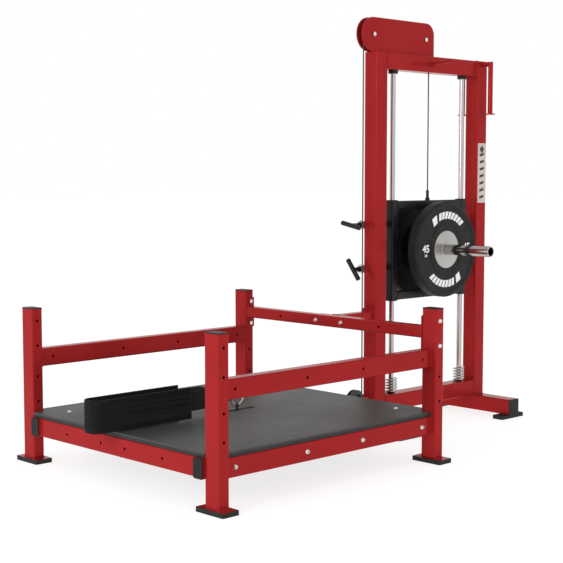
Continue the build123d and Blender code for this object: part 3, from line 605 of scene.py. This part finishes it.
def strap_ring(point, tangent):
    """Section across the webbing, which wrinkles a little away from the ring."""
    side = left_of(tangent)
    bottom, top = strap_bounds(point.x)
    inner, outer = [], []
    for j in range(STRAP_LEVELS):
        base = Vector((point.x, point.y, bottom + (top - bottom) * j / (STRAP_LEVELS - 1)))
        lip = LIP_FULLNESS if j in (0, STRAP_LEVELS - 1) else 1.0
        half = side * (STRAP_THICKNESS / 2 * lip - STRAP_SHRINK)
        if abs(point.y) > WRINKLE_FROM:
            base += side * WRINKLE * noise.noise(base * 22.0)
        inner.append(base + half)
        outer.append(base - half)
    return inner + outer[::-1]


strap_line = strap_path()
strap_rings = [strap_ring(*place) for place in zip(strap_line, tangents_along(strap_line))]
straps = new_piece("belt_straps", Skin().loft(strap_rings), STRAP)
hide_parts("belt_webbing")
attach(straps, "belt")


# ---------------------------------------------------------------- weld beads
def rounded_loop(half_u, half_v, radius, spacing=0.0035):
    """Points round a rounded rectangle, in its own plane."""
    points = []
    for corner, (su, sv) in enumerate(((1, 1), (-1, 1), (-1, -1), (1, -1))):
        centre = Vector((su * (half_u - radius), sv * (half_v - radius)))
        for i in range(5):
            angle = radians(90 * corner + 90 * i / 4)
            points.append(centre + Vector((cos(angle), sin(angle))) * radius)
    dense = []
    for first, second in zip(points, points[1:] + points[:1]):
        steps = max(1, round((second - first).length / spacing))
        dense += [first.lerp(second, i / steps) for i in range(steps)]
    return dense


X, Y, Z = range(3)
ACROSS = {X: (Y, Z), Y: (X, Z), Z: (X, Y)}


def weld_bead(skin, centre, axis, half_u, half_v, radius=0.006, bead=0.0026):
    """A rippled bead round a tube's end, in the plane across the axis."""
    u, v = ACROSS[axis]
    path = []
    for p in rounded_loop(half_u, half_v, radius):
        point = Vector(centre)
        point[u] += p.x
        point[v] += p.y
        path.append(point)
    along = Vector()
    along[axis] = 1.0
    rings = []
    for i, (point, tangent) in enumerate(zip(path, tangents_along(path, closed=True))):
        size = bead * (1 + 0.14 * sin(i * 2.1) + 0.12 * noise.noise(point * 90.0))
        rings.append(circle(point, tangent.cross(along), along, size, 8))
    skin.loft(rings, closed_path=True)


def weld_at_end(skin, node, axis, end):
    """A bead at the low or high end of a single tube that runs along the axis."""
    low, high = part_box(node)
    centre = (low + high) / 2
    centre[axis] = (low, high)[end][axis]
    u, v = ACROSS[axis]
    weld_bead(skin, centre, axis, (high[u] - low[u]) / 2, (high[v] - low[v]) / 2)


welds = Skin()
for name in ("hand_rail_left", "hand_rail_right", "side_beam_left", "side_beam_right",
             "tower_top_beam", "tower_base_beam", "link_beam"):
    for end in (0, 1):
        weld_at_end(welds, name, X, end)
for name in ("post_front_left", "post_front_right", "post_rear_left", "post_rear_right",
             "tower_post_rear", "tower_post_front"):
    weld_at_end(welds, name, Z, 0)
for end in (0, 1):
    weld_at_end(welds, "end_rail", Y, end)
weld_beads = new_piece("weld_beads", welds, RED)
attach(weld_beads, "frame")

THIN_BEAD = 0.0022
black_welds = Skin()
bars_low, bars_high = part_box("carriage_bars")
bar_half = (bars_high.y - bars_low.y) / 2
for z in (bars_low.z + bar_half, bars_high.z - bar_half):
    for x in (bars_low.x, bars_high.x):
        weld_bead(black_welds, (x, 0, z), X, bar_half, bar_half, radius=0.005, bead=THIN_BEAD)
post_low, post_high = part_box("carriage_centre_post")
for z in (post_low.z, post_high.z):
    weld_bead(black_welds, ((post_low.x + post_high.x) / 2, 0, z), Z,
              (post_high.x - post_low.x) / 2, bar_half, radius=0.007, bead=THIN_BEAD)
carriage_welds = new_piece("carriage_weld_beads", black_welds, BLACK)
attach(carriage_welds, "carriage")

# ---------------------------------------------------------------- marks on the bumper plates
MARK_RADIUS = 0.162
NUMBER_RADIUS = 0.152
MARK_HEIGHT = 0.046
MARK_RELIEF, MARK_BEVEL, MARK_SINK = 0.0008, 0.0002, 0.0001
MARK_BOLDNESS = 0.022
RIM_HEIGHT = 0.004  # of the plate's rim over the face that bears the marks
ARC_BLOCKS, ARC_SPAN = 8, 66.0  # degrees, as in the next two lines
EMBLEM_START, EMBLEM_END = 69.0, 85.0
BLOCK_LEAN = -2.0
WORDS = (("number", "45", 1.06, 0.006), ("unit", "LB", 0.36, -0.024))  # name, text, size, rise


def text_mesh(name, body, size):
    """Flat raised lettering in the XY plane, centred, as a mesh."""
    curve = bpy.data.curves.new(name, "FONT")
    curve.body = body
    curve.size = size
    curve.align_x, curve.align_y = "CENTER", "CENTER"
    curve.extrude = MARK_RELIEF / 2
    curve.bevel_depth = MARK_BEVEL
    curve.offset = size * MARK_BOLDNESS
    holder = bpy.data.objects.new(name + "_source", curve)
    bpy.context.scene.collection.objects.link(holder)
    bpy.context.view_layer.update()
    depsgraph = bpy.context.evaluated_depsgraph_get()
    mesh = bpy.data.meshes.new_from_object(holder.evaluated_get(depsgraph))
    bpy.data.objects.remove(holder)
    mesh.materials.clear()
    return mesh


def arc_blocks(skin, height, start, end, count):
    """A row of leaning blocks along an arc, as raised solids in the XY plane."""
    step = (end - start) / count
    lean = radians(BLOCK_LEAN)
    for i in range(count):
        first = radians(start + step * (i + 0.12))
        last = radians(start + step * (i + 0.88))
        lower, upper = [], []
        for j in range(5):
            angle = first + (last - first) * j / 4
            lower.append((MARK_RADIUS - height / 2, angle - lean))
            upper.append((MARK_RADIUS + height / 2, angle + lean))
        outline = lower + upper[::-1]
        rings = [[Vector((r * cos(a), r * sin(a), z)) for r, a in outline]
                 for z in (-MARK_RELIEF / 2, MARK_RELIEF / 2)]
        skin.loft(rings)


for side_name, outward in (("right", -1), ("left", 1)):
    low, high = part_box(f"bumper_plate_{side_name}")
    centre = (low + high) / 2
    half = (high.y - low.y) / 2
    body = f"plate_{side_name}"
    face_y = centre.y + outward * (half - RIM_HEIGHT + MARK_RELIEF / 2 - MARK_SINK)
    upright = Matrix.Translation((centre.x, face_y, centre.z))
    upright = upright @ Matrix.Rotation(radians(90), 4, "X")
    if outward > 0:
        upright = upright @ Matrix.Rotation(pi, 4, "Y")
    for place, sign in (("a", -1), ("b", 1)):
        for mark, words, size, rise in WORDS:
            name = f"plate_{side_name}_{mark}_{place}"
            mesh = text_mesh(name, words, MARK_HEIGHT * size)
            mesh.transform(upright @ Matrix.Translation((sign * NUMBER_RADIUS, rise, 0)))
            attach(add_piece(name, mesh, WHITE), body)
    for place, start in (("top", 46.0), ("bottom", 226.0)):
        marks = Skin()
        arc_blocks(marks, MARK_HEIGHT * 0.72, start, start + ARC_SPAN, ARC_BLOCKS)
        arc_blocks(marks, MARK_HEIGHT * 0.8, start + EMBLEM_START, start + EMBLEM_END, 1)
        marks.points = [upright @ point for point in marks.points]
        piece = new_piece(f"plate_{side_name}_arc_{place}", marks, WHITE, smooth=False)
        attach(piece, body)

# ---------------------------------------------------------------- stripes on the label
STRIPES = 7
STRIPES_FROM = 0.03  # above the label's lower end
STRIPES_SHORT = 0.085  # how much less than the label's height the stripes take up
EMBLEM_DROP = 0.03
PRINT_BACK, PRINT_FRONT = 0.0001, -0.0002

label_low, label_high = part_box("side_label")
label_x = (label_low.x + label_high.x) / 2
label_width = label_high.x - label_low.x


def print_shape(skin, outline, height):
    """A thin printed shape on the label's face, about its centre line."""
    skin.loft([[Vector((label_x + u, label_low.y + depth, height + v)) for u, v in outline]
               for depth in (PRINT_BACK, PRINT_FRONT)])


stripe_half, emblem_half = label_width * 0.27, label_width * 0.3
stripe = [(-stripe_half, -0.011), (stripe_half, -0.004),
          (stripe_half, 0.009), (-stripe_half, 0.002)]
emblem = [(0, -0.02), (emblem_half, 0), (0, 0.02), (-emblem_half, 0)]
stripes = Skin()
for i in range(STRIPES):
    rise = (label_high.z - label_low.z - STRIPES_SHORT) * i / (STRIPES - 1)
    print_shape(stripes, stripe, label_low.z + STRIPES_FROM + rise)
print_shape(stripes, emblem, label_high.z - EMBLEM_DROP)
label_marks = new_piece("label_stripes", stripes, INK, smooth=False)
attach(label_marks, "frame")

# ---------------------------------------------------------------- floor and light
FLOOR_REACH = 60.0
FLOOR_GLOW = 0.78
PURE_WHITE = (1.0, 1.0, 1.0, 1.0)

floor_mesh = bpy.data.meshes.new("floor")
floor_mesh.from_pydata([(FLOOR_REACH * x, FLOOR_REACH * y, 0)
                        for x, y in ((-1, -1), (1, -1), (1, 1), (-1, 1))], [], [(0, 1, 2, 3)])
floor_shader = Shader("studio_floor", roughness=0.9, specular=0.1)
floor_shader.mottle(0.5, (0.30, 0.30, 0.30), (0.32, 0.32, 0.32))
floor_shader.set("Emission Color", PURE_WHITE)
floor_shader.set("Emission Strength", FLOOR_GLOW)
floor_mesh.materials.append(floor_shader.material)
floor = bpy.data.objects.new("floor", floor_mesh)
bpy.context.scene.collection.objects.link(floor)

# white surroundings, a little dimmer overhead than at the sides
world = bpy.data.worlds.new("studio")
world.use_nodes = True
tree = world.node_tree
direction = tree.nodes.new("ShaderNodeTexCoord")
split = tree.nodes.new("ShaderNodeSeparateXYZ")
dimming = tree.nodes.new("ShaderNodeMapRange")
for socket, value in (("From Min", 0.2), ("From Max", 0.85), ("To Min", 1.0), ("To Max", 0.68)):
    dimming.inputs[socket].default_value = value
tree.links.new(direction.outputs["Generated"], split.inputs["Vector"])
tree.links.new(split.outputs["Z"], dimming.inputs["Value"])
tree.links.new(dimming.outputs["Result"], tree.nodes["Background"].inputs["Strength"])
tree.nodes["Background"].inputs["Color"].default_value = PURE_WHITE
bpy.context.scene.world = world


def soft_light(name, place, target, size, power):
    data = bpy.data.lights.new(name, "AREA")
    data.shape = "SQUARE"
    data.size = size
    data.energy = power
    light = bpy.data.objects.new(name, data)
    bpy.context.scene.collection.objects.link(light)
    light.location = place
    light.rotation_euler = (Vector(target) - Vector(place)).to_track_quat("-Z", "Y").to_euler()


middle_height = cad_box[1][2] / 2
soft_light("key", (-4.8, -0.6, 2.0), (0, 0, middle_height), 2.0, 75.0)
soft_light("fill", (1.5, -5.0, 3.0), (0, 0, middle_height), 3.0, 12.0)

view = bpy.context.scene.view_settings
view.view_transform = "Standard"
view.look = "None"
